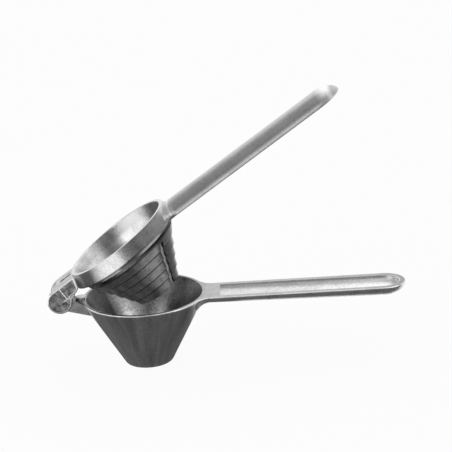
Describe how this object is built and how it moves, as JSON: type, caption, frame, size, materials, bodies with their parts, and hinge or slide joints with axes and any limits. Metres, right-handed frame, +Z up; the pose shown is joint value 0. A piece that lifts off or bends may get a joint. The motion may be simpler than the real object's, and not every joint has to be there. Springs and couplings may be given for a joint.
{
  "type": "hinged lemon squeezer",
  "caption": "Two-arm hand press for citrus: a conical cup with a drained floor below, a hollow stepped cone above, and long channel handles joined by a pinned hinge.",
  "frame": {"origin": "centre of the cup's flat foot", "axes": "+Z up the cup, +X along the lower handle, hinge on the -X side, mirror plane XZ"},
  "size_m": [0.1932, 0.0674, 0.1479],
  "materials": {
    "cast_aluminium": "cast, tumbled outside and turned bright inside the cone",
    "pin_steel": "plain drawn pin"
  },
  "bodies": {
    "lower": {"lower_arm": "cast_aluminium"},
    "upper": {"upper_arm": "cast_aluminium", "hinge_pin": "pin_steel"}
  },
  "joints": [
    {"name": "arm_hinge", "type": "hinge", "parent": "lower", "child": "upper", "pos_m": [-0.0448, 0, 0.0402], "axis": [0, -1, 0], "range_deg": [-34, 96]}
  ]
}
